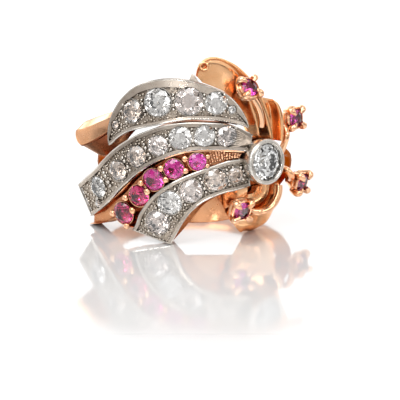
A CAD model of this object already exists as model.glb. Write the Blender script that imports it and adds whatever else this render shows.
"""Diamond and ruby cocktail ring, resting on its side on a white floor.

Shapes are worked out in millimetres in the ring's own frame: the origin is the middle of the finger hole,
z runs along the finger, -y is the front of the head and x its right. add_mesh() leans each shape with
TO_REST into the resting pose and turns it into metres.
"""
import math
import random

import bmesh
import bpy
from mathutils import Matrix, Vector


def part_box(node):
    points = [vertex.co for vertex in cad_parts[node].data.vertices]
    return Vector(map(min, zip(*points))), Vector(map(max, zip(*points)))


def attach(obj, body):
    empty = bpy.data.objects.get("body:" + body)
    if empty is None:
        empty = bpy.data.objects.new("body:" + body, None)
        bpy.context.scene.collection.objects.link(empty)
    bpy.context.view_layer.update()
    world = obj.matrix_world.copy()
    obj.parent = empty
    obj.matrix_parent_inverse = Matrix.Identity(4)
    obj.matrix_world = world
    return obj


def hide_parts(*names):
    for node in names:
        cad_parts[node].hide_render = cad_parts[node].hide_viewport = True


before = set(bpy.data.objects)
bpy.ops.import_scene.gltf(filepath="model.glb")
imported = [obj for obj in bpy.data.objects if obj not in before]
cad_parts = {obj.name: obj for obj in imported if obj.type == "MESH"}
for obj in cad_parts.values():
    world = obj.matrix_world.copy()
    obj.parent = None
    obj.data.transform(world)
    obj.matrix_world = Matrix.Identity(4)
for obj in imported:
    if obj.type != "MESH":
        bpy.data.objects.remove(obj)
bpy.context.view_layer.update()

# A millimetre, in metres
MM = 0.001

# Driving dimensions, in millimetres and degrees. LEAN is how far the finger hole leans back at rest
LEAN = 6
FINGER_R = 8.65
BAND_R = 10.2
BAND_HALF_W = 0.8
# Space between the band and what stands on it, and between a plate and its gallery
BAND_GAP = 0.08
PLATE_GAP = 0.05
BASE_R = BAND_R + BAND_GAP
HOOP_R = BAND_R - BAND_GAP
# Radius of the domed head at its fullest, its radius along the finger, and where it is fullest
HEAD_R = 12.5
CROWN_R = 40
CROWN_Z = 1
# Angle past which the tails run straight on, and the distance round the head that one radian covers
FLARE = 55
ROUND_R = 12.2
PLATE_T = 1
# Depth of a stone's girdle under the dome, and of its point under the girdle as a share of its radius
SUNK = 0.12
PAVILION = 0.84
# Height of the pavé's sunk field and of the channel's floor over the dome
FIELD_N = -0.3
CHANNEL_N = -0.85
# Width of the bevel along a plate's edges
PLATE_BEVEL = 0.06
# Radius of the metal's grains between the stones, and how many places are tried for them
BEAD_R = 0.16
BEAD_TRIES = 1500
# Radius of the grains that hold the stones
GRAIN_R = 0.2
# Radius up to which a stone is too small to be held by grains
SMALL_GEM_R = 0.6
FLOOR_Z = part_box("lower_ribbon")[0].z
# Points that a curve gets from each row of its table to the next
STEPS = 6
# Distance under which two points of a mesh are one, in millimetres
SAME_POINT = 1e-4

TO_REST = Matrix.Rotation(math.radians(-LEAN), 4, "X")
FLARE_A = math.radians(FLARE)
FLARE_S = ROUND_R * FLARE_A

# Columns of each edge: place round the head from its front, place along the finger, depth of the hollow
LEAF_LOW = [
    (-9.65, 3.45), (-9.2, 3.75), (-8.5, 4.4), (-7.3, 5.15), (-5.9, 5.63), (-4.2, 6.08), (-2.6, 6.48),
    (-0.6, 6.8), (1.4, 6.82), (3.2, 6.55), (4.6, 6.2), (5.4, 5.88), (5.7, 5.68),
]
LEAF_HIGH = [
    (-9.85, 4), (-9.88, 5.2), (-9.45, 6.7), (-8.4, 8.35), (-6.7, 9.8), (-4.7, 10.5), (-2.7, 10.75),
    (-0.3, 10.55), (1.9, 9.95), (3.6, 9.15), (4.75, 8), (5.45, 6.8), (5.76, 5.9),
]
TAB_LOW = [(-0.8, 10.3), (0.7, 10.2)]
TAB_HIGH = [(-0.35, 11.2), (0, 11.1)]
UPPER_HIGH = [
    (-15, -1.7), (-13.4, -0.6), (-11.8, 0.5), (-10.2, 1.9), (-8.8, 3.1), (-7.3, 4.15), (-5.8, 5),
    (-3.4, 5.95), (-0.8, 6.35), (1.7, 6.3), (3.9, 6), (6, 5),
]
UPPER_LOW = [
    (-13.05, -4.6), (-11.3, -3.6), (-9.65, -2.4), (-8.3, -1.1), (-7, 0.1), (-5.8, 1.1), (-4.6, 1.95),
    (-2.7, 2.95), (-0.6, 3.6), (1.5, 3.7), (3.4, 3.6), (5.2, 3.35),
]
LOWER_HIGH = [
    (-14.1, -5.794), (-11.2, -5.2), (-9.3, -4.35), (-6.88, -5.2), (-5.75, -3.3), (-4.6, -1.75),
    (-3.2, -0.5), (-1.5, 0.53), (0.4, 1.35), (2, 1.9), (3.4, 2.3), (4.75, 2.45),
]
# Where the channel's ledge stands out past the upper ribbon's corner
LEDGE_TOP = (-13.75, -4.75)
LOWER_FOOT = [
    (-2.55, -6.3), (-1.5, -5.3), (-0.6, -4.35), (0.3, -3.35), (1.2, -2.5), (2.3, -1.9), (3.5, -1.35),
    (4.5, -1.1), (5.3, -0.9),
]
LOWER_LOW = [
    (-2.6, -6.439), (-1.85, -5.1), (-1.2, -3.95), (-0.4, -2.85), (0.6, -1.95), (1.7, -1.35), (3, -0.9),
    (4.2, -0.7), (5.2, -0.5),
]
# The last rows of the bar's lower edge, which its back follows too
BAR_LAST = [(-4.7, 6.4), (-3.3, 6.35), (-2.2, 6.3), (-0.5, 6.5), (2, 6.42), (5, 5.78)]
BAR_LOW = [
    (-15.5, 3.75), (-15.4, 3.05), (-14.95, 2.6), (-14.2, 2.5), (-12.6, 3.2), (-11.2, 4.1), (-9.9, 4.9),
    (-8.4, 5.5), (-6.6, 6.05), *BAR_LAST,
]
BAR_FOOT = [
    (-15.3, 3), (-15.2, 2.1), (-14.75, 1.55), (-14.1, 1.35), (-12.6, 1.6), (-11.2, 2.1), (-9.9, 2.9),
    (-8.4, 4.3), (-6.6, 5.7), *BAR_LAST,
]
BAR_HIGH = [
    (-15.5, 3.9, 0), (-15.4, 4.5, 0), (-14.95, 4.95, 0), (-14.3, 5.2, 0), (-12.7, 5.85, 0.1),
    (-11.3, 6.4, 0.5), (-10.05, 6.75, 1.07), (-8.4, 7.3, 1.07), (-6.6, 8.2, 1.07), (-4.7, 8.9, 1.07),
    (-3.2, 9.1, 1.07), (-2.1, 9.15, 1.07), (-0.4, 9, 1.07), (2, 8.7, 1.07), (4.9, 7, 1.07),
]
LOOP_INNER = [
    (0.9, 10.45), (1.4, 10.28), (2.3, 9.93), (3.4, 9.42), (4.3, 8.7), (5.02, 7.75), (5.62, 6.75),
    (6, 5.9), (6.4, 5.15), (7, 4.45),
]
LOOP_RIM = [
    (0.15, 11.2, 0.25), (0.5, 12.2, 0.3), (1.6, 12.9, 0.35), (3.1, 12.85, 0.4), (4.9, 12.1, 0.6),
    (6.4, 10.8, 1), (7.5, 9.2, 1.3), (8.2, 7.5, 1.4), (8.6, 5.9, 1.45), (8.8, 4.15, 1.5),
]
# Where the upper loop's back ends, under the collar, at its inner edge and at its rim
LOOP_FOOT = [(7.2, 3.4), (8.9, 3.3, 0)]
BACK_INNER = [(9, 7.7), (9.1, 7), (9.15, 6.1), (9.15, 5.1), (9.15, 3.8)]
BACK_RIM = [(9.2, 8.2, 0.8), (9.9, 7.7, 1), (10.35, 6.7, 1.2), (10.4, 5.5, 1.2), (10.1, 3.8, 1.2)]
LOWER_LOOP_INNER = [
    (7.5, -1), (7.4, -1.3), (7.1, -1.5), (6.6, -1.6), (6.1, -1.6), (5.7, -1.5), (5.5, -1.3),
]
LOWER_LOOP_RIM = [
    (9.4, -0.5, 0), (9.1, -1.9, 0), (8.1, -2.9, 0), (6.9, -3.25, 0.1), (5.8, -3.25, 0.9),
    (4.8, -2.9, 1.4), (4.1, -2.2, 1.5),
]
# The last column of this foot is the share of the section's last column that is taken there
LOWER_LOOP_FOOT = [
    (10.6, -0.8, 0), (11.1, -3.6, 0), (10.1, -5.55, 1), (8.9, -6.033, 1), (7.3, -5.948, 1),
    (5.7, -5.6, 0.1), (4, -3.6, 0),
]


def plain(rows):
    """A section from rows of share and height: no hollow, and the same shares at the face and the back."""
    return [(share, height, 0, share, 0) for share, height in rows]


# Columns of each section across a strip: share of the width at the face (past 1, on towards the foot),
# height of the face over the dome, share of the hollow's depth taken there, share of the width at the back,
# how far the back lies under its cylinder
BASE_TOP = -PLATE_T - PLATE_GAP
UPPER_BASE_SECTION = [(0.04, BASE_TOP, 0, 0.04, 0), (0.5, BASE_TOP, 0, 0.5, 0), (0.98, BASE_TOP, 0, 1, 0)]
LOWER_BASE_SECTION = [(0.04, BASE_TOP, 0, 0, 0), (0.5, BASE_TOP, 0, 0.5, 0), (0.96, BASE_TOP, 0, 0.96, 0)]
CHANNEL_SECTION = plain([
    (0.04, -0.3), (0.08, -0.4), (0.12, CHANNEL_N), (0.88, CHANNEL_N), (0.92, -0.4), (0.96, -0.3),
])
TAB_SECTION = plain([(0, -0.35), (0.12, -0.3), (0.88, -0.4), (1, -0.45)])
BAR_SECTION = [
    (0, -0.4, 0.9, 0, 0), (0.02, -0.16, 0.97, 0.02, 0), (0.07, -0.03, 1, 0.07, 0), (0.14, 0, 1, 0.14, 0),
    (0.4, 0, 1, 0.4, 0), (0.66, 0, 1, 0.66, 0), (0.7, -0.04, 1, 0.7, 0), (0.73, -0.1, 1, 0.73, 0),
    (0.91, -0.52, 1, 0.87, 0), (0.95, -0.6, 1, 0.91, 0), (0.98, -0.68, 0.98, 0.93, 0),
    (1, -0.8, 0.95, 0.95, 0),
]
LOWER_LOOP_SECTION = [
    (0, -1.3, 0.3, 0, 0), (0.3, -1.26, 0.3, 0.12, 0), (0.56, -1.14, 0.36, 0.25, 0),
    (0.65, -0.95, 0.45, 0.34, 0), (0.7, -0.75, 0.5, 0.4, 0), (0.74, -0.85, 0.55, 0.45, 0),
    (0.78, -1.05, 0.65, 0.5, 0), (0.83, -0.75, 0.8, 0.56, 0), (0.88, -0.25, 0.95, 0.62, 0),
    (0.92, -0.05, 1, 0.66, 0), (0.96, 0.02, 1, 0.7, 0), (1, 0.02, 1, 0.75, 0), (1.05, -0.06, 1, 0.8, 0.3),
    (1.12, -0.2, 1, 0.88, 0.85), (1.4, -0.75, 0.6, 0.94, 1.1), (1.7, -1.3, 0.1, 1, 1.28),
]
# The root that fills the corner between the lower loop and the lower ribbon
ROOT_LOW = [(3.6, -2.9), (4.4, -2.6), (5.4, -2), (6.2, -1.6)]
ROOT_HIGH = [(3.4, -1), (4.4, -0.75), (5.4, -0.6), (6.2, -0.6)]
ROOT_SECTION = plain([(0, -1.35), (0.5, -1.2), (1, -1.3)])

# Columns of each stone: place round the head, place along the finger, radius
LEAF_GEMS = [
    (-6.99, 7.25, 1.2), (-4, 8.4, 1.46), (-0.59, 8.6, 1.44), (2.33, 8.4, 1.15), (-9.05, 5.6, 0.42),
    (4.1, 7.65, 0.4),
]
UPPER_GEMS = [
    (-11.49, -1.35, 1.1), (-8.5, 0.85, 1.05), (-6.2, 2.65, 1.1), (-3.8, 3.95, 1.05), (-1.45, 4.85, 1.18),
    (1, 5.1, 1.12), (3.4, 4.95, 1.1), (-11.75, -3.1, 0.45),
]
LOWER_GEMS = [
    (-3.95, -4.2, 1.25), (-2.55, -2, 1.25), (-0.4, -0.65, 1.22), (2.15, 0.45, 1.22), (4.3, 0.85, 0.8),
]
CHANNEL_GEMS = [
    (-7.95, -3.6, 1.2), (-5.95, -1.5, 1.14), (-4.25, 0.35, 1.16), (-2.1, 1.6, 1.05), (0.3, 2.4, 0.92),
]
# Columns of the gold beads that hold the channel's rubies: the same as for the stones
CHANNEL_BEADS = [
    (-9.35, -3.8, 0.38), (-6.75, -3.15, 0.4), (-7.6, -4.9, 0.36), (-7.5, -1.9, 0.38), (-4.95, -0.95, 0.4),
    (-5.62, -0.1, 0.38), (-2.95, 0.45, 0.38), (-3.45, 1.6, 0.4), (-0.98, 2.7, 0.38), (-0.9, 1.45, 0.36),
    (1.35, 2.95, 0.3), (1.3, 2, 0.28),
]

BEZEL_LIP = (7.56, -10.94, 2.08)
BEZEL_WAY = (0.667, -0.74, 0.087)
BEZEL_R = 2.4
BEZEL_FOOT_R = 1.9
BEZEL_H = 2.6
CENTRE_GEM_R = 1.9
# How far the large diamond's girdle lies under the lip
CENTRE_SUNK = 0.3

WIRE_R = 0.36
CUP_R = 1.22
CUP_H = 1.7
STAMEN_GEM_R = 0.92
# Of each stamen: where the ruby's girdle lies, the way that it faces, and the wire's points from its foot
STAMENS = [
    ((5.68, -11.47, 10.02), (0.5, -0.66, 0.56),
     [(6.85, -9.45, 5.5), (6.9, -9.55, 6.2), (6.66, -9.88, 7.4), (6.16, -10.25, 8.4), (5.58, -10.58, 9)]),
    ((10.45, -6.2, 5.7), (0.75, -0.65, 0.1),
     [(8.33, -6.64, 1), (8.7, -7.1, 1.9), (9.15, -7.5, 3), (9.5, -7.6, 4.2), (9.35, -6.9, 4.95)]),
    ((11.15, -4.9, -1.4), (0.83, -0.5, -0.2),
     [(8.9, -5.9, 0.4), (9.55, -6.55, 0.3), (9.95, -6.5, -0.15), (10.1, -5.95, -0.55), (10, -5.2, -0.85)]),
    ((4.9, -12.25, -2.8), (0.52, -0.82, -0.24),
     [(8.75, -9.3, -0.7), (8.65, -9.65, -1.7), (7.95, -10.25, -2.75), (6.9, -11, -3.15),
      (5.8, -11.1, -3.05)]),
]
# Columns of the band's side view: place from front to back, lowest and highest place along the finger
BAND_SIDE = [
    (-10.6, -4.7, 4.4), (-9.6, -4.55, 4.3), (-8.2, -3.9, 4.1), (-7.2, -3.2, 3.2), (-6.2, -2.6, 2.3),
    (-4.4, -1.75, 1.45), (-2.2, -1.05, 0.95), (-0.4, -0.8, 0.78), (0.6, -0.7, 0.7),
]


# Curves and places on the head

def smooth(rows, steps=STEPS):
    """A smooth curve through a table's rows, with steps points from each row to the next."""
    last = len(rows) - 1
    out = []
    for i in range(last):
        a, b, c, d = rows[max(i - 1, 0)], rows[i], rows[i + 1], rows[min(i + 2, last)]
        for j in range(steps):
            t = j / steps
            out.append(tuple(
                0.5 * (
                    2 * q + (r - p) * t + (2 * p - 5 * q + 4 * r - s) * t * t
                    + (3 * q - p - 3 * r + s) * t ** 3
                )
                for p, q, r, s in zip(a, b, c, d)
            ))
    out.append(tuple(rows[last]))
    return out


def mix(a, b, share):
    return a + (b - a) * share


def ease(x, low, high):
    """0 below low, 1 above high, and a smooth step between."""
    x = min(max((x - low) / (high - low), 0), 1)
    return x * x * (3 - 2 * x)


def across(a, b, share):
    """The place at a share of the way from one edge's row to the other's."""
    return mix(a[0], b[0], share), mix(a[1], b[1], share)


def apart(a, b):
    """How far two places on the head are apart."""
    return math.hypot(b[0] - a[0], b[1] - a[1])


def dome(z):
    """The head's radius at a place along the finger."""
    return HEAD_R - (z - CROWN_Z) ** 2 / (2 * CROWN_R)


def head_angle(s):
    return min(max(s / ROUND_R, -FLARE_A), FLARE_A)


def on_head(s, z, r):
    """The point at a place round the head and along the finger, at a radius."""
    a = head_angle(s)
    t = math.copysign(max(abs(s) - FLARE_S, 0), s)
    return Vector((r * math.sin(a) + t * math.cos(a), -r * math.cos(a) + t * math.sin(a), z))


def head_frame(s, z, n=0, turn=0):
    """Places a thing on the head, with its own +z out of the domed face."""
    face_up = math.atan((z - CROWN_Z) / CROWN_R)
    spin = Matrix.Rotation(head_angle(s), 4, "Z") @ Matrix.Rotation(math.pi / 2 - face_up, 4, "X")
    return Matrix.Translation(on_head(s, z, dome(z) + n)) @ spin @ Matrix.Rotation(turn, 4, "Z")


def facing_frame(place, way):
    """Places a thing with its own +z along way."""
    down = Matrix.Rotation(math.atan2(math.hypot(way[0], way[1]), way[2]), 4, "Y")
    spin = Matrix.Rotation(math.atan2(way[1], way[0]), 4, "Z") @ down
    return Matrix.Translation(Vector(place)) @ spin


# Mesh makers: each returns (points, faces) in millimetres in the ring's frame

def moved(shape, matrix):
    points, faces = shape
    return [matrix @ Vector(p) for p in points], faces


def joined(shapes):
    points, faces = [], []
    for p, f in shapes:
        faces += [[i + len(points) for i in face] for face in f]
        points += p
    return points, faces


def circle(r, z, sides, shift=0):
    """Points round the z axis, the first of them turned on from x by shift."""
    turns = [math.tau * k / sides + shift for k in range(sides)]
    return [Vector((r * math.cos(turn), r * math.sin(turn), z)) for turn in turns]


def lathe(profile, sides):
    """Turns a profile of (radius, height) rows about z. A radius of 0 closes the shape with a point."""
    points, rings = [], []
    for r, z in profile:
        if r == 0:
            rings.append([len(points)] * sides)
            points.append(Vector((0, 0, z)))
        else:
            rings.append([len(points) + k for k in range(sides)])
            points += circle(r, z, sides)
    faces = []
    for low, high in zip(rings, rings[1:]):
        for k in range(sides):
            m = (k + 1) % sides
            face = [low[k], low[m], high[m], high[k]]
            face = [v for i, v in enumerate(face) if v != face[i - 1]]
            if len(face) > 2:
                faces.append(face)
    return points, faces


def sweep(route, radii, sides=12, out=None):
    """A round wire along its points, with one radius or a list of them, and closed ends."""
    route = [Vector(p) for p in route]
    last = len(route) - 1
    points, faces = [], []
    side = None
    turns = [math.tau * k / sides for k in range(sides)]
    for i, p in enumerate(route):
        along = (route[min(i + 1, last)] - route[max(i - 1, 0)]).normalized()
        if side is None:
            ref = Vector(out) if out else Vector((p.x, p.y, 0))
            side = along.cross(ref).normalized()
        side = (side - along * side.dot(along)).normalized()
        up = side.cross(along)
        r = radii[i] if isinstance(radii, list) else radii
        points += [p + r * (math.cos(turn) * side + math.sin(turn) * up) for turn in turns]
    for i in range(last):
        for k in range(sides):
            a, b = i * sides + k, i * sides + (k + 1) % sides
            faces.append([a, b, b + sides, a + sides])
    faces.append(list(range(sides - 1, -1, -1)))
    faces.append(list(range(last * sides, (last + 1) * sides)))
    return points, faces


def ball(radius):
    bm = bmesh.new()
    bmesh.ops.create_icosphere(bm, subdivisions=2, radius=radius)
    points = [v.co.copy() for v in bm.verts]
    faces = [[v.index for v in f.verts] for f in bm.faces]
    bm.free()
    return points, faces


def grain(s, z, r, n):
    """A round grain of metal on the head, with its middle at height n over the dome."""
    return moved(ball(r), head_frame(s, z, n))


def strip(low, high, section, inner_r=0, back_low=None, back_high=None):
    """A solid that follows the head between two edges. With inner_r, its back is a cylinder round the finger.

    The section is one table, or a function that gives it for a share of the strip's length.
    """
    near, far = back_low or low, back_high or high
    points = []
    for i in range(len(low)):
        columns = section(i / (len(low) - 1)) if callable(section) else section
        hollow = high[i][2] if len(high[i]) > 2 else 0
        reach = far[i][2] if len(far[i]) > 2 and back_high else 0
        for share, height, take, _, _ in columns:
            s, z = across(high[i], far[i], share - 1) if share > 1 else across(low[i], high[i], share)
            points.append(on_head(s, z, dome(z) + height - hollow * take))
        for _, _, _, share, under in columns:
            s, z = across(near[i], far[i], share)
            points.append(on_head(s, z, inner_r - under * reach if inner_r else dome(z) - PLATE_T))
    return points, strip_faces(len(low), len(columns))


def strip_faces(rows, n):
    """The faces of a solid whose rows each have n points at its face and then n at its back."""
    faces = []
    for i in range(rows - 1):
        t, u = 2 * n * i, 2 * n * (i + 1)
        for j in range(n - 1):
            faces.append([t + j, t + j + 1, u + j + 1, u + j])
            faces.append([t + n + j, u + n + j, u + n + j + 1, t + n + j + 1])
        faces.append([t, u, u + n, t + n])
        faces.append([t + n - 1, t + 2 * n - 1, u + 2 * n - 1, u + n - 1])
    for t, turned in ((0, False), (2 * n * (rows - 1), True)):
        for j in range(n - 1):
            face = [t + j, t + n + j, t + n + j + 1, t + j + 1]
            faces.append(face[::-1] if turned else face)
    return faces


def border_shares(width, low_border, high_border):
    """The shares of a plate's width that its two borders take, which narrow towards a pointed end."""
    return min(low_border / width, 0.3), min(high_border / width, 0.45)


def plate(low, high, low_border, high_border):
    """A stone-set plate: smooth borders at its two edges and a sunk field between them."""
    points = []
    for a, b in zip(low, high):
        width = apart(a, b)
        near, far = border_shares(width, low_border, high_border)
        step = min(PLATE_BEVEL / width, 0.1)
        section = [
            (0, -0.1), (step, 0), (near, -0.02), (near + step, FIELD_N), (0.5, FIELD_N),
            (1 - far - step, FIELD_N), (1 - far, -0.02), (1 - step, 0), (1, -0.1),
        ]
        for back in (False, True):
            for w, height in section:
                s, z = across(a, b, w)
                points.append(on_head(s, z, dome(z) + (-PLATE_T if back else height)))
    return points, strip_faces(len(low), len(section))


def field(low, high, low_border, high_border):
    """The rough floor of a plate's field, as a thin sheet that lies on it and reaches under its borders."""
    points, columns, lap = [], 9, 0.05
    for a, b in zip(low, high):
        near, far = border_shares(apart(a, b), low_border - lap, high_border - lap)
        for n in (FIELD_N + 0.03, FIELD_N - 0.1):
            for j in range(columns):
                s, z = across(a, b, mix(near, 1 - far, j / (columns - 1)))
                points.append(on_head(s, z, dome(z) + n))
    return points, strip_faces(len(low), columns)


def field_beads(low, high, low_border, high_border, gems, seed):
    """Small grains of metal all over a plate's field, wherever they clear the stones and each other."""
    rng = random.Random(seed)
    kept = []
    for _ in range(BEAD_TRIES):
        at = rng.uniform(0, len(low) - 1.001)
        i, part = int(at), at % 1
        a = [mix(p, q, part) for p, q in zip(low[i], low[i + 1])]
        b = [mix(p, q, part) for p, q in zip(high[i], high[i + 1])]
        width = apart(a, b)
        first, last = low_border / width, 1 - high_border / width
        if first >= last:
            continue
        s, z = across(a, b, rng.uniform(first, last))
        r = BEAD_R * rng.uniform(0.7, 1.2)
        if any(apart(gem, (s, z)) < gem[2] + 0.35 * r for gem in gems):
            continue
        if any(apart(bead, (s, z)) < 0.9 * (r + bead[2]) for bead in kept):
            continue
        kept.append((s, z, r))
    return joined([grain(s, z, r, FIELD_N + 0.04) for s, z, r in kept])


def on_curve(rows, n, first=0, last=1):
    """Points along an edge, at height n over the dome, from one share of its length to another."""
    a, b = round(first * (len(rows) - 1)), round(last * (len(rows) - 1))
    return [on_head(r[0], r[1], dome(r[1]) + n) for r in rows[a:b + 1]]


def spaced(route, gap):
    """Points a fixed distance apart along a route."""
    out, left = [route[0]], gap
    for a, b in zip(route, route[1:]):
        length = (b - a).length
        while left <= length:
            out.append(a.lerp(b, left / length))
            left += gap
        left -= length
    return out


def cut_stone(r, crown=0.36, pavilion=PAVILION, table=0.54):
    """An old brilliant cut on its girdle's plane: table, stars, kites, upper and lower halves and mains.

    The crown's height, the pavilion's depth and the table's radius are shares of the stone's radius.
    """
    crown_h, pavilion_h, edge = crown * r, pavilion * r, 0.03
    t = table * r
    eighth = math.tau / 8
    star_r, low_r = 0.78 * r, 0.36 * r
    half = math.cos(eighth / 2)
    star_z = edge + (crown_h - edge) * (r - star_r * half) / (r - t)
    low_z = -edge - (pavilion_h - edge) * (1 - low_r * half / r)
    points = circle(t, crown_h, 8) + circle(star_r, star_z, 8, eighth / 2) + circle(r, edge, 16)
    points += circle(r, -edge, 16) + circle(low_r, low_z, 8, eighth / 2) + [Vector((0, 0, -pavilion_h))]
    # The numbers of each ring's points, and of the point at the bottom
    flat, star, top, under, low = range(8), range(8, 16), range(16, 32), range(32, 48), range(48, 56)
    culet = 56
    faces = [list(flat)]
    for k in range(8):
        last, ahead = (k - 1) % 8, (k + 1) % 8
        a, b, c = 2 * k, 2 * k + 1, 2 * ahead
        faces += [
            [flat[k], star[k], flat[ahead]], [flat[k], star[last], top[a], star[k]],
            [star[k], top[a], top[b]], [star[k], top[b], top[c]],
            [culet, low[k], under[a], low[last]],
            [low[k], under[b], under[a]], [low[k], under[c], under[b]],
        ]
    for k in range(16):
        ahead = (k + 1) % 16
        faces.append([top[k], under[k], under[ahead], top[ahead]])
    return points, faces


def stone_seat(r):
    """The space that a stone and its cup take up in the metal, open above."""
    wall, deep, top = r + 0.06, PAVILION * r + 0.16, 1.2
    return lathe([(0, -deep), (wall, -0.08), (wall, top), (0, top)], 40)


def stone_cup(r):
    """The thin wall of metal that a stone's pavilion sits in."""
    deep, outer, inner, top = PAVILION * r, r + 0.09, r + 0.02, -0.04
    return lathe([
        (0, -deep - 0.2), (outer, -0.1), (outer, top), (inner, top), (inner, -0.07), (0, -deep - 0.08),
    ], 32)


def at_gems(make, gems):
    """One shape for each stone, where its girdle lies."""
    return joined([moved(make(r), head_frame(s, z, -SUNK)) for s, z, r in gems])


# Materials: the helpers add nodes to the tree that they are given

def new_material(name):
    material = bpy.data.materials.new(name)
    material.use_nodes = True
    tree = material.node_tree
    return material, tree, tree.nodes["Principled BSDF"]


def in_millimetres(tree):
    """A point of the object, in millimetres, to drive textures with."""
    scale = tree.nodes.new("ShaderNodeVectorMath")
    scale.operation = "SCALE"
    scale.inputs["Scale"].default_value = 1 / MM
    tree.links.new(tree.nodes.new("ShaderNodeTexCoord").outputs["Object"], scale.inputs[0])
    return scale.outputs[0]


def axes(tree, vector):
    """The X, Y and Z of a vector."""
    parts = tree.nodes.new("ShaderNodeSeparateXYZ")
    tree.links.new(vector, parts.inputs[0])
    return parts.outputs


def noise(tree, place, scale, detail):
    texture = tree.nodes.new("ShaderNodeTexNoise")
    texture.inputs["Scale"].default_value = scale
    texture.inputs["Detail"].default_value = detail
    tree.links.new(place, texture.inputs["Vector"])
    return texture.outputs["Fac"]


def ramp(tree, value, low, high, first, last, kind="SMOOTHSTEP"):
    """Maps a value's low to high to first to last."""
    node = tree.nodes.new("ShaderNodeMapRange")
    node.interpolation_type = kind
    for name, number in (("From Min", low), ("From Max", high), ("To Min", first), ("To Max", last)):
        node.inputs[name].default_value = number
    tree.links.new(value, node.inputs["Value"])
    return node.outputs["Result"]


def spread(tree, fac, low=0, high=1):
    """Maps the range that a noise mostly stays in to low to high."""
    return ramp(tree, fac, 0.3, 0.7, low, high, "LINEAR")


def combined(tree, operation, a, b):
    """A sum, product or the like of two values, each a node's output or a plain number."""
    node = tree.nodes.new("ShaderNodeMath")
    node.operation = operation
    for socket, value in zip(node.inputs, (a, b)):
        if isinstance(value, (int, float)):
            socket.default_value = value
        else:
            tree.links.new(value, socket)
    return node.outputs[0]


def mixed(tree, factor, a, b):
    """Mixes two colours, each a node's output or a plain colour."""
    node = tree.nodes.new("ShaderNodeMix")
    node.data_type = "RGBA"
    tree.links.new(factor, node.inputs["Factor"])
    for socket, colour in (("A", a), ("B", b)):
        if isinstance(colour, tuple):
            node.inputs[socket].default_value = (*colour, 1)
        else:
            tree.links.new(colour, node.inputs[socket])
    return node.outputs["Result"]


def metal(
    name, clean, worn, rough, grain, bump, dirt, soil, reach, pits=None, edge=(1, 1, 1), hidden=None,
    under=None, over=None,
):
    """A metal: blotches of a second tone, uneven polish, fine marks or pits, and soil in its corners.

    With hidden, it turns to that deeper tone just behind the head. With under and over, it turns to those
    tones where it faces down and up.
    """
    material, tree, shader = new_material(name)
    place = in_millimetres(tree)
    colour = mixed(tree, spread(tree, noise(tree, place, 0.55, 3)), clean, worn)
    if hidden:
        y = axes(tree, place)["Y"]
        factor = combined(tree, "MULTIPLY", ramp(tree, y, -7.5, -5, 0, 0.9), ramp(tree, y, 0, 4, 1, 0.2))
        colour = mixed(tree, factor, colour, hidden)
    if under:
        z = axes(tree, tree.nodes.new("ShaderNodeNewGeometry").outputs["Normal"])["Z"]
        colour = mixed(tree, ramp(tree, z, -0.35, -0.05, 0.95, 0), colour, under)
        colour = mixed(tree, ramp(tree, z, 0.3, 0.55, 0, 1), colour, over)
    corner = tree.nodes.new("ShaderNodeAmbientOcclusion")
    corner.samples = 6
    corner.inputs["Distance"].default_value = reach * MM
    colour = mixed(tree, ramp(tree, corner.outputs["AO"], 0.25, 0.9, dirt, 0, "LINEAR"), colour, soil)
    marks = tree.nodes.new("ShaderNodeBump")
    marks.inputs["Strength"].default_value = bump
    if pits:
        cells = tree.nodes.new("ShaderNodeTexVoronoi")
        cells.inputs["Scale"].default_value = 1 / pits
        tree.links.new(place, cells.inputs["Vector"])
        height, depth = cells.outputs["Distance"], 0.12
    else:
        height, depth = noise(tree, place, grain, 5), 0.02
    marks.inputs["Distance"].default_value = depth * MM
    tree.links.new(height, marks.inputs["Height"])
    shader.inputs["Metallic"].default_value = 1
    shader.inputs["Specular Tint"].default_value = (*edge, 1)
    tree.links.new(colour, shader.inputs["Base Color"])
    tree.links.new(spread(tree, noise(tree, place, 1.7, 4), *rough), shader.inputs["Roughness"])
    tree.links.new(marks.outputs["Normal"], shader.inputs["Normal"])
    return material


def glass(name, colour, deep, index, clouds=1.1):
    """A cut stone, with soft clouds of a deeper tone in it."""
    material, tree, shader = new_material(name)
    fac = noise(tree, in_millimetres(tree), clouds, 2)
    tree.links.new(mixed(tree, spread(tree, fac), colour, deep), shader.inputs["Base Color"])
    shader.inputs["Transmission Weight"].default_value = 1
    shader.inputs["IOR"].default_value = index
    shader.inputs["Roughness"].default_value = 0
    return material


# Tones of clean and worn gold, of the soil in gold's and platinum's corners, and of gold seen edge-on
ROSE = (0.92, 0.48, 0.255)
ROSE_DEEP = (0.8, 0.37, 0.17)
RED_SHADE = (0.22, 0.04, 0.012)
GREY_SHADE = (0.07, 0.05, 0.035)
GOLD_EDGE = (0.95, 0.78, 0.65)
# How much soil lies in the corners, its tone, and how far it reaches out, in millimetres
IN_GOLD = {"dirt": 0.95, "soil": RED_SHADE, "reach": 1.6}
IN_PLATINUM = {"dirt": 0.8, "soil": GREY_SHADE, "reach": 0.4}
GOLD = metal("rose_gold", ROSE, ROSE_DEEP, (0.16, 0.3), 6, 0.25, **IN_GOLD, edge=GOLD_EDGE)
GOLD_BAR = metal(
    "rose_gold_bar", (0.94, 0.52, 0.3), (0.84, 0.42, 0.21), (0.16, 0.3), 6, 0.2, dirt=0.8, soil=RED_SHADE,
    reach=1.2, edge=GOLD_EDGE, under=(0.13, 0.027, 0.009), over=(0.6, 0.38, 0.25),
)
GOLD_LOOP = metal(
    "rose_gold_loop", (0.97, 0.57, 0.31), (0.87, 0.45, 0.21), (0.16, 0.28), 6, 0.2, dirt=0.6,
    soil=(0.42, 0.13, 0.05), reach=1.1, edge=GOLD_EDGE,
)
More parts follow.
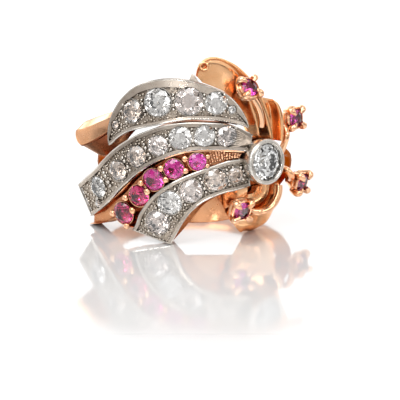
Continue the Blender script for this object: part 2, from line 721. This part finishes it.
GOLD_BAND = metal(
    "rose_gold_band", ROSE, ROSE_DEEP, (0.16, 0.3), 6, 0.25, **IN_GOLD, edge=(0.45, 0.24, 0.14),
    hidden=(0.36, 0.13, 0.05),
)
GOLD_GALLERY = metal(
    "rose_gold_gallery", (0.72, 0.33, 0.15), (0.55, 0.22, 0.09), (0.2, 0.34), 6, 0.25, **IN_GOLD,
    edge=GOLD_EDGE,
)
GOLD_BRIGHT = metal(
    "rose_gold_bright", (0.95, 0.6, 0.39), ROSE, (0.12, 0.22), 8, 0.15, dirt=0.85, soil=RED_SHADE, reach=0.7,
)
PLATINUM = metal("platinum", (0.63, 0.55, 0.47), (0.46, 0.385, 0.32), (0.22, 0.38), 7, 0.4, **IN_PLATINUM)
PLATINUM_BRIGHT = metal(
    "platinum_bright", (0.76, 0.71, 0.65), (0.58, 0.53, 0.47), (0.12, 0.22), 8, 0.15, **IN_PLATINUM,
)
FIELD = metal(
    "platinum_field", (0.56, 0.48, 0.4), (0.38, 0.31, 0.25), (0.28, 0.45), 9, 0.35, **IN_PLATINUM, pits=0.4,
)
GRAIN = metal("platinum_grain", (0.64, 0.57, 0.5), (0.46, 0.4, 0.33), (0.18, 0.3), 8, 0.3, **IN_PLATINUM)
COLLAR = metal("platinum_collar", (0.74, 0.7, 0.65), (0.58, 0.54, 0.49), (0.2, 0.32), 8, 0.2, **IN_PLATINUM)
DIAMOND_INDEX = 2.42
RUBY_INDEX = 1.77
# Clouds of the pavé's diamonds, finer than those of the other stones
FINE_CLOUDS = 2.2
DIAMOND = glass("diamond", (0.98, 0.975, 0.965), (0.88, 0.87, 0.85), DIAMOND_INDEX)
DIAMOND_GREY, DIAMOND_PINK, DIAMOND_BROWN = [
    glass(f"diamond_{tint}", colour, deep, DIAMOND_INDEX, FINE_CLOUDS)
    for tint, colour, deep in (
        ("grey", (0.86, 0.84, 0.81), (0.5, 0.47, 0.44)),
        ("pink", (0.84, 0.75, 0.7), (0.5, 0.4, 0.35)),
        ("brown", (0.76, 0.64, 0.55), (0.44, 0.32, 0.24)),
    )
]
CRIMSON = glass("ruby_crimson", (0.7, 0.05, 0.2), (0.45, 0.015, 0.09), RUBY_INDEX)
RUBY = glass("ruby", (0.74, 0.07, 0.38), (0.5, 0.02, 0.2), RUBY_INDEX)
MAGENTA = glass("ruby_magenta", (0.86, 0.13, 0.58), (0.66, 0.04, 0.36), RUBY_INDEX)


# Pieces

def new_object(name, data):
    obj = bpy.data.objects.new(name, data)
    bpy.context.scene.collection.objects.link(obj)
    return obj


def add_mesh(name, shape):
    """A mesh object of a shape in the ring's frame, leant to rest and in metres, with its faces outward."""
    points, faces = shape
    mesh = bpy.data.meshes.new(name)
    mesh.from_pydata([(TO_REST @ Vector(p)) * MM for p in points], [], faces)
    mesh.validate()
    bm = bmesh.new()
    bm.from_mesh(mesh)
    bmesh.ops.remove_doubles(bm, verts=bm.verts, dist=SAME_POINT * MM)
    bmesh.ops.recalc_face_normals(bm, faces=bm.faces)
    if bm.calc_volume(signed=True) < 0:
        bmesh.ops.reverse_faces(bm, faces=bm.faces)
    bm.to_mesh(mesh)
    bm.free()
    return new_object(name, mesh)


def cut_out(obj, shape):
    """Takes a shape out of an object."""
    cutter = add_mesh("cut", shape)
    modifier = obj.modifiers.new("cut", "BOOLEAN")
    modifier.operation = "DIFFERENCE"
    modifier.solver = "MANIFOLD"
    modifier.object = cutter
    graph = bpy.context.evaluated_depsgraph_get()
    done = bpy.data.meshes.new_from_object(obj.evaluated_get(graph))
    obj.modifiers.clear()
    obj.data = done
    bpy.data.objects.remove(cutter)


def piece(name, shape, material, node=None, sharp=35, cut=None):
    """Makes one piece, less the shape in cut. With node, it stands for that CAD node.

    Edges sharper than sharp, in degrees, stay sharp, and 0 leaves the whole piece in flat facets.
    """
    obj = add_mesh(name, shape)
    if cut:
        cut_out(obj, cut)
    if sharp:
        obj.data.shade_smooth()
        obj.data.set_sharp_from_angle(angle=math.radians(sharp))
    obj.data.materials.clear()
    obj.data.materials.append(material)
    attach(obj, "root")
    if node:
        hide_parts(node)


def make_band():
    """The hoop, rounded behind and at the sides, widening into an apron under the head."""
    side = smooth(BAND_SIDE, 4)
    hoop_w = 2 * BAND_HALF_W

    def limits(y):
        if y >= side[-1][0]:
            return -BAND_HALF_W, BAND_HALF_W
        for a, b in zip(side, side[1:]):
            if a[0] <= y <= b[0]:
                t = (y - a[0]) / (b[0] - a[0])
                return min(mix(a[1], b[1], t), -BAND_HALF_W), max(mix(a[2], b[2], t), BAND_HALF_W)
        return side[0][1], side[0][2]

    # Columns of the section's upper half, from the inside out: radius, share of the half width
    half = [
        (FINGER_R, 0), (FINGER_R, 0.82), (FINGER_R + 0.12, 0.97), (FINGER_R + 0.4, 1), (HOOP_R - 0.5, 1),
        (HOOP_R - 0.2, 0.88), (HOOP_R - 0.05, 0.6), (HOOP_R, 0),
    ]
    section = [(r, -share) for r, share in half[1:]] + half[-2::-1]
    turns, n = 240, len(section)
    points, faces = [], []
    for i in range(turns):
        a = math.tau * i / turns
        for r, share in section:
            low, high = limits(-r * math.cos(a))
            wide = max(high - low, hoop_w)
            # Away from the thin hoop, the rounding stays as wide as it is there
            soft = 1 - (1 - abs(share)) * hoop_w / wide if abs(share) > 0.5 else abs(share)
            z = (low + high) / 2 + math.copysign(soft, share) * wide / 2
            points.append(Vector((r * math.sin(a), -r * math.cos(a), z)))
        for j in range(n):
            k, m = (j + 1) % n, (i + 1) % turns
            faces.append([i * n + j, i * n + k, m * n + k, m * n + j])
    piece("band", (points, faces), GOLD_BAND, "shank", sharp=50)


def make_stones(label, gems, materials, seed):
    """The stones of one part, each turned and a little tilted at random."""
    rng = random.Random(seed)
    tilt = 0.1
    for i, (s, z, r) in enumerate(gems, 1):
        over = Matrix.Rotation(rng.uniform(-tilt, tilt), 4, "X")
        over = over @ Matrix.Rotation(rng.uniform(-tilt, tilt), 4, "Y")
        at = head_frame(s, z, -SUNK, rng.uniform(0, math.tau)) @ over
        stone = moved(cut_stone(r), at)
        piece(f"{label}_{i}_cut", stone, materials[i - 1], f"{label}_{i}", sharp=0)


def grains(gems):
    """Grains of metal pushed over the stones' edges, four in each gap of a row and four round each end."""
    shapes = []
    big = [gem for gem in gems if gem[2] > SMALL_GEM_R]
    for (s0, z0, r0), (s1, z1, r1) in zip(big, big[1:]):
        d = apart((s0, z0), (s1, z1))
        us, uz = (s1 - s0) / d, (z1 - z0) / d
        mid = (d + r0 - r1) / 2
        off = math.sqrt(max((r0 + GRAIN_R * 0.7) ** 2 - mid ** 2, 0.12))
        for way in (-1, 1):
            for extra, size in ((0, 1), (0.42, 0.85)):
                w = way * (off + extra)
                s, z = s0 + us * mid - uz * w, z0 + uz * mid + us * w
                shapes.append(grain(s, z, GRAIN_R * size, -0.1))
    for (s0, z0, r0), (s1, z1, _) in ((big[0], big[1]), (big[-1], big[-2])):
        back = math.atan2(z0 - z1, s0 - s1)
        reach = r0 + GRAIN_R * 0.6
        for turn in (-0.75, -0.25, 0.25, 0.75):
            s, z = s0 + reach * math.cos(back + turn), z0 + reach * math.sin(back + turn)
            shapes.append(grain(s, z, GRAIN_R * 0.9, -0.12))
    return joined(shapes)


def rim_round(low, high):
    """A thin wire all round a plate's edge, with its middle a little under the dome."""
    n, radius = -0.07, 0.1
    route = on_curve(low, n) + on_curve(high, n)[::-1]
    return sweep(route + route[:1], radius, 8)


def make_plate(name, node, low, high, borders, gems, seed):
    """One platinum plate with its field, rims, grains and the lined seats of its stones."""
    holes = at_gems(stone_seat, gems)
    piece(f"{name}_metal", plate(low, high, *borders), PLATINUM, node, sharp=30, cut=holes)
    piece(f"{name}_field", field(low, high, *borders), FIELD, cut=holes)
    piece(f"{name}_beads", field_beads(low, high, *borders, gems, seed), GRAIN)
    piece(f"{name}_grains", grains(gems), PLATINUM_BRIGHT)
    piece(f"{name}_rim", rim_round(low, high), PLATINUM_BRIGHT)
    piece(f"{name}_seats", at_gems(stone_cup, gems), PLATINUM_BRIGHT, sharp=50)


def make_leaf():
    low, high = smooth(LEAF_LOW), smooth(LEAF_HIGH)
    make_plate("leaf", "leaf_plate", low, high, (0.3, 0.75), LEAF_GEMS, 11)
    piece("leaf_tab", strip(smooth(TAB_LOW), smooth(TAB_HIGH), TAB_SECTION), PLATINUM)
    # A row of tiny beads along the right part of the lower edge
    bead_r, gap = 0.1, 0.26
    dots = spaced(on_curve(low, 0, 0.6, 0.98), gap)
    milgrain = joined([moved(ball(bead_r), Matrix.Translation(p)) for p in dots])
    piece("leaf_milgrain", milgrain, GRAIN)
    tints = (DIAMOND_BROWN, DIAMOND_GREY, DIAMOND_PINK, DIAMOND_GREY, DIAMOND_BROWN, DIAMOND_GREY)
    make_stones("leaf_diamond", LEAF_GEMS, tints, 6)


def drawn_on(rows, ahead):
    """An edge with one row more, straight on from its last two, which runs in under the collar."""
    a, b = rows[-2:]
    k = ahead / apart(a, b)
    return rows + [tuple(q + (q - p) * k for p, q in zip(a, b))]


def make_gallery(name, shape, gems):
    """The gold under a ribbon, which the ribbon's stones reach down into."""
    holes = at_gems(stone_seat, gems)
    piece(f"{name}_gallery", shape, GOLD_GALLERY, f"{name}_base", cut=holes)


def make_upper_ribbon():
    low, high = drawn_on(smooth(UPPER_LOW), 0.5), drawn_on(smooth(UPPER_HIGH), 0.2)
    make_plate("upper_ribbon", "upper_ribbon", low, high, (0.32, 0.36), UPPER_GEMS, 12)
    gallery = strip(smooth(UPPER_LOW), smooth(UPPER_HIGH), UPPER_BASE_SECTION, BASE_R)
    make_gallery("upper_ribbon", gallery, UPPER_GEMS)
    # Flutes that run together at the ribbon's right end
    flutes, lines, rows = [], 9, 7
    for k in range(lines):
        route = []
        for i in range(rows + 1):
            share = mix((k + 0.5) / lines, 0.7, 0.6 * ease(i / rows, 0.2, 1))
            s, z = across(low[-rows - 1 + i], high[-rows - 1 + i], mix(0.1, 0.92, share))
            route.append(on_head(s, z, dome(z) + mix(FIELD_N, 0, ease(i / rows, 0, 0.3))))
        flutes.append(sweep(route, [mix(0.05, 0.1, ease(i / rows, 0, 0.4)) for i in range(rows + 1)], 8))
    piece("upper_ribbon_flutes", joined(flutes), FIELD)
    tints = (
        DIAMOND_GREY, DIAMOND_BROWN, DIAMOND_BROWN, DIAMOND_PINK, DIAMOND_GREY, DIAMOND_GREY, DIAMOND_PINK,
        DIAMOND_BROWN,
    )
    make_stones("upper_ribbon_diamond", UPPER_GEMS, tints, 2)


def make_lower_ribbon():
    # The ribbon's upper edge starts at the fourth row, after those of the channel's ledge
    low, high = smooth(LOWER_LOW), smooth(LOWER_HIGH)[3 * STEPS:]
    gallery = strip(low, high, LOWER_BASE_SECTION, BASE_R, back_low=smooth(LOWER_FOOT))
    low, high = drawn_on(low, 0.6), drawn_on(high, 0.8)
    make_plate("lower_ribbon", "lower_ribbon", low, high, (0.32, 0.3), LOWER_GEMS, 13)
    make_gallery("lower_ribbon", gallery, LOWER_GEMS)
    tints = (DIAMOND_PINK, DIAMOND_GREY, DIAMOND_PINK, DIAMOND_BROWN, DIAMOND_BROWN)
    make_stones("lower_ribbon_diamond", LOWER_GEMS, tints, 3)


def make_channel():
    low, high = smooth(LOWER_HIGH), smooth([LEDGE_TOP] + UPPER_LOW[1:])
    holes = at_gems(stone_seat, CHANNEL_GEMS)
    trough = strip(low, high, CHANNEL_SECTION, BASE_R)
    piece("channel", trough, GOLD, "ruby_channel", sharp=50, cut=holes)
    piece("channel_seats", at_gems(stone_cup, CHANNEL_GEMS), GOLD_BRIGHT, sharp=50)
    # Each bead is the head of a short post that stands on the channel's floor
    posts = []
    for s, z, r in CHANNEL_BEADS:
        post = lathe([
            (0, CHANNEL_N - 0.1), (0.8 * r, CHANNEL_N - 0.1), (0.75 * r, -0.35), (r, -0.12), (0.92 * r, 0.04),
            (0.7 * r, 0.15), (0.4 * r, 0.21), (0, 0.23),
        ], 20)
        posts.append(moved(post, head_frame(s, z)))
    piece("channel_beads", joined(posts), GOLD_BRIGHT, sharp=60)
    # The grained strip right of the last ruby
    shelf_from, shelf_n = 0.79, -0.34
    shelf_low, shelf_high = [rows[round(shelf_from * (len(rows) - 1)):] for rows in (low, high)]
    shelf_section = plain([(0.04, shelf_n), (0.5, shelf_n), (0.96, shelf_n)])
    shelf = strip(shelf_low, shelf_high, shelf_section, BASE_R)
    piece("channel_shelf", shelf, GOLD, cut=holes)
    rng = random.Random(5)
    dots, lines = [], 18
    for i in range(lines):
        for w in (0.2, 0.4, 0.6, 0.8):
            at = (i + rng.uniform(0.2, 0.8)) / lines * (len(shelf_low) - 1)
            k = min(int(at), len(shelf_low) - 1)
            s, z = across(shelf_low[k], shelf_high[k], w + rng.uniform(-0.06, 0.06))
            dots.append(grain(s, z, rng.uniform(0.1, 0.16), -0.3))
    piece("channel_grains", joined(dots), GOLD_BRIGHT)
    # A wire along the upper ribbon's lower edge, a little behind and below it
    down = 0.14
    line = [p - Vector((0, 0, down)) for p in on_curve(high, -down, 0.62, 1)]
    piece("channel_line", sweep(line, 0.12, 8), GOLD_BRIGHT)
    make_stones("channel_ruby", CHANNEL_GEMS, (CRIMSON, CRIMSON, RUBY, RUBY, MAGENTA), 4)


def make_bar():
    shape = strip(smooth(BAR_LOW), smooth(BAR_HIGH), BAR_SECTION, BASE_R, back_low=smooth(BAR_FOOT))
    # The leaf's stones reach down into the bar
    holes = at_gems(stone_seat, LEAF_GEMS)
    piece("bar", shape, GOLD_BAR, "gold_bar", sharp=25, cut=holes)


def loop_section(narrow, wide):
    """A ribbon loop's section: a hollow face and a rounded rim band that widens along the loop."""
    hollow_steps, band_steps = 30, 12

    def section(share):
        band = mix(narrow, wide, ease(share, 0.3, 0.75))
        rows = []
        for j in range(hollow_steps + 1):
            q = j / hollow_steps
            rows.append((q * (1 - band), 0, 1 - q ** 9, q * (1 - band), 0))
        for j in range(1, band_steps + 1):
            q = j / band_steps
            w = 1 - band * (1 - q)
            rows.append((w, 0.1 * math.sin(math.pi * q) - 0.1 * q ** 8, 0, w, 0))
        return rows

    return section


def make_loops():
    upper = strip(
        smooth(LOOP_INNER), smooth(LOOP_RIM), loop_section(0.05, 0.2), BASE_R,
        back_low=smooth(LOOP_INNER[:-1] + LOOP_FOOT[:1]), back_high=smooth(LOOP_RIM[:-1] + LOOP_FOOT[1:]),
    )
    piece("loop_top", upper, GOLD_LOOP, "upper_loop", sharp=60)
    # The curl at the top of the upper loop, which faces the front
    middle, curl_r, turns = Vector((0.99, -11, 12.15)), 0.4, 24
    curl = []
    for k in range(turns + 1):
        turn = math.tau * k / turns
        curl.append(middle + curl_r * Vector((math.cos(turn), 0, math.sin(turn))))
    piece("loop_curl", sweep(curl, 0.12, 10, out=(0, 1, 0)), GOLD_LOOP)
    back = strip(smooth(BACK_INNER), smooth(BACK_RIM), loop_section(0.3, 0.3), BASE_R)
    piece("loop_back", back, GOLD_LOOP, "back_loop", sharp=60)
    lower = strip(
        smooth(LOWER_LOOP_INNER), smooth(LOWER_LOOP_RIM), smooth(LOWER_LOOP_SECTION, 3), BASE_R,
        back_high=smooth(LOWER_LOOP_FOOT),
    )
    piece("loop_low", lower, GOLD_LOOP, "lower_loop", sharp=60)
    root = strip(smooth(ROOT_LOW), smooth(ROOT_HIGH), ROOT_SECTION, BASE_R)
    piece("loop_root", root, GOLD_LOOP, sharp=60)


def make_bezel():
    """The collar round the large diamond, its lip and the stone."""
    at = facing_frame(BEZEL_LIP, BEZEL_WAY)
    lip, gem_r = BEZEL_R, CENTRE_GEM_R
    profile = [
        (0, -BEZEL_H), (BEZEL_FOOT_R, -BEZEL_H), (BEZEL_FOOT_R + 0.1, -BEZEL_H + 0.1), (lip - 0.06, -1),
        (lip, -0.8), (lip, -0.2), (lip - 0.04, -0.06), (lip - 0.13, 0), (gem_r + 0.2, 0.02),
        (gem_r + 0.08, -0.04), (gem_r - 0.02, -0.16), (gem_r - 0.02, -0.24), (gem_r + 0.03, -0.27),
        (gem_r + 0.03, -0.36), (0.25, -2.02), (0, -2.05),
    ]
    piece("collar", moved(lathe(profile, 96), at), COLLAR, "bezel", sharp=50)
    lip_ring = [
        (gem_r + 0.3, -0.06), (gem_r + 0.3, 0.02), (gem_r + 0.24, 0.06), (gem_r + 0.12, 0.05),
        (gem_r + 0.05, -0.02), (gem_r, -0.16), (gem_r + 0.1, -0.2), (gem_r + 0.3, -0.06),
    ]
    piece("collar_lip", moved(lathe(lip_ring, 96), at), PLATINUM_BRIGHT, sharp=50)
    stone = cut_stone(gem_r, crown=0.34, pavilion=0.86, table=0.5)
    stone = moved(stone, at @ Matrix.Translation((0, 0, -CENTRE_SUNK)))
    piece("centre_diamond_cut", stone, DIAMOND, "centre_diamond", sharp=0)


def make_stamens():
    """Four wires with claw cups, and their rubies."""
    profile = [
        (0, -CUP_H - 0.2), (0.5, -CUP_H - 0.1), (0.72, -CUP_H * 0.8), (CUP_R * 0.8, -CUP_H * 0.62),
        (CUP_R * 0.9, -0.7), (CUP_R + 0.06, -0.62), (CUP_R + 0.08, -0.5), (CUP_R + 0.04, -0.4),
        (CUP_R * 0.94, -0.34), (CUP_R * 0.94, -0.2), (CUP_R - 0.02, -0.05), (CUP_R - 0.1, 0.06),
        (STAMEN_GEM_R + 0.06, 0.06), (STAMEN_GEM_R + 0.03, -0.08), (0.2, -0.86), (0, -0.88),
    ]
    # Columns of a claw, from its foot to its tip over the ruby: distance out, height, radius
    claw = smooth([
        (CUP_R - 0.08, -0.75, 0.2), (CUP_R + 0.05, -0.3, 0.3), (CUP_R + 0.1, 0.1, 0.36),
        (CUP_R - 0.08, 0.4, 0.33), (0.7 * STAMEN_GEM_R, 0.42, 0.16),
    ], 3)
    claw = sweep([(out, 0, height) for out, height, _ in claw], [row[2] for row in claw], 12, out=(1, 0, 0.3))
    for i, (place, way, wire) in enumerate(STAMENS, 1):
        at = facing_frame(place, way)
        foot = at @ Vector((0, 0, -CUP_H * 0.85))
        shapes = [moved(lathe(profile, 48), at), sweep(smooth(wire + [tuple(foot)]), WIRE_R, 16)]
        for k in range(4):
            spin = at @ Matrix.Rotation(math.tau * (k + 0.5) / 4, 4, "Z")
            shapes.append(moved(claw, spin))
        piece(f"stamen_{i}_cup", joined(shapes), GOLD_BRIGHT, f"stamen_{i}")
        stone = moved(cut_stone(STAMEN_GEM_R, crown=0.3, pavilion=0.8), at)
        piece(f"stamen_ruby_{i}_cut", stone, MAGENTA, f"stamen_ruby_{i}", sharp=0)


# Stage: a white floor, soft light and a long lens at the photograph's angle

# The photo's width, and how many of its pixels cover a millimetre of the ring
PIXELS_ACROSS = 400
PIXELS_PER_MM = 9.6
# The camera's height over the horizon, in degrees, and its distance, in metres
ELEVATION = 18
CAMERA_FAR = 1
SENSOR = 36
# Where the middle of the picture lies from the middle of the finger hole, to the right and up, in millimetres
AIM_RIGHT = 0.57
AIM_UP = -4.15
# Half the floor's width, in metres
FLOOR_HALF = 6
# Columns of each lamp: name, place and side in metres, brightness of its face
LAMPS = [
    ("key", (-0.28, -0.3, 0.42), 0.26, 5),
    ("fill", (0.4, -0.25, 0.3), 0.2, 3),
    ("top", (0, -0.12, 0.5), 0.3, 3.2),
    ("rim", (-0.36, 0.34, 0.24), 0.24, 3.2),
    ("spark_left", (-0.12, -0.42, 0.2), 0.035, 40),
    ("spark_right", (0.2, -0.36, 0.36), 0.035, 40),
]


def make_camera():
    up_angle = math.radians(ELEVATION)
    to_camera = Vector((0, -math.cos(up_angle), math.sin(up_angle)))
    up = Vector((0, math.sin(up_angle), math.cos(up_angle)))
    aim = (Vector((AIM_RIGHT, 0, 0)) + AIM_UP * up) * MM
    data = bpy.data.cameras.new("camera")
    data.sensor_width = SENSOR
    data.lens = SENSOR * CAMERA_FAR / (PIXELS_ACROSS / PIXELS_PER_MM * MM)
    data.clip_start = 0.05
    data.clip_end = 20
    camera = new_object("camera", data)
    camera.location = aim + to_camera * CAMERA_FAR
    camera.rotation_euler = (-to_camera).to_track_quat("-Z", "Y").to_euler()
    bpy.context.scene.camera = camera


def make_floor():
    mesh = bpy.data.meshes.new("floor")
    corners = [(x * FLOOR_HALF, y * FLOOR_HALF, FLOOR_Z) for x, y in ((-1, -1), (1, -1), (1, 1), (-1, 1))]
    mesh.from_pydata(corners, [], [(0, 1, 2, 3)])
    floor = new_object("floor", mesh)
    material, tree, shader = new_material("white_floor")
    shader.inputs["IOR"].default_value = 3.3
    place = axes(tree, tree.nodes.new("ShaderNodeTexCoord").outputs["Object"])
    # The gloss fades towards the front, and the white sheet darkens to the left and right of the picture
    gloss = ramp(tree, place["Y"], -50 * MM, -8 * MM, 0, 0.75, "LINEAR")
    rough = ramp(tree, place["Y"], -48 * MM, -34 * MM, 0.5, 0.07)
    sheet = ramp(tree, combined(tree, "ABSOLUTE", place["X"], 0), 26 * MM, 48 * MM, 0, 1)
    sheet = combined(tree, "MULTIPLY", sheet, ramp(tree, place["Y"], -20 * MM, 0, 1, 0.4))
    colour = mixed(tree, sheet, (0.68, 0.68, 0.68), (0.1, 0.09, 0.085))
    for socket, value in (("Specular IOR Level", gloss), ("Roughness", rough), ("Base Color", colour)):
        tree.links.new(value, shader.inputs[socket])
    mesh.materials.append(material)


def make_lamp(name, place, side, brightness):
    """A square lamp that points at the ring."""
    data = bpy.data.lights.new(name, "AREA")
    data.shape = "SQUARE"
    data.size = side
    data.energy = brightness * math.pi * side * side
    lamp = new_object(name, data)
    lamp.location = place
    lamp.rotation_euler = (Vector() - Vector(place)).to_track_quat("-Z", "Y").to_euler()


def make_sky():
    world = bpy.data.worlds.new("studio")
    bpy.context.scene.world = world
    world.use_nodes = True
    tree = world.node_tree
    way = tree.nodes.new("ShaderNodeTexCoord").outputs["Generated"]
    x, y, z = axes(tree, way)
    # Dim towards the camera and the sides and white behind the ring, with patches of light and dark above
    shade = ramp(tree, y, -0.7, 0.5, 0.82, 1)
    sides = ramp(tree, combined(tree, "ABSOLUTE", x, 0), 0.55, 0.9, 1, 0.8)
    shade = combined(tree, "MULTIPLY", shade, sides)
    patches = ramp(tree, noise(tree, way, 4, 1.5), 0.46, 0.56, 0.04, 2.1)
    high_up = ramp(tree, z, 0.38, 0.6, 0, 1)
    patches = combined(tree, "MULTIPLY", combined(tree, "SUBTRACT", patches, 1), high_up)
    shade = combined(tree, "MULTIPLY", shade, combined(tree, "ADD", patches, 1))
    low_down = ramp(tree, z, 0.45, 0.75, 0.5, 0)
    behind = combined(tree, "MULTIPLY", ramp(tree, y, 0.1, 0.7, 0, 1), low_down)
    tree.links.new(combined(tree, "ADD", shade, behind), tree.nodes["Background"].inputs["Color"])


make_camera()
make_floor()
make_sky()
for lamp in LAMPS:
    make_lamp(*lamp)
bpy.context.scene.view_settings.view_transform = "Standard"
make_band()
make_leaf()
make_upper_ribbon()
make_lower_ribbon()
make_channel()
make_bar()
make_loops()
make_bezel()
make_stamens()
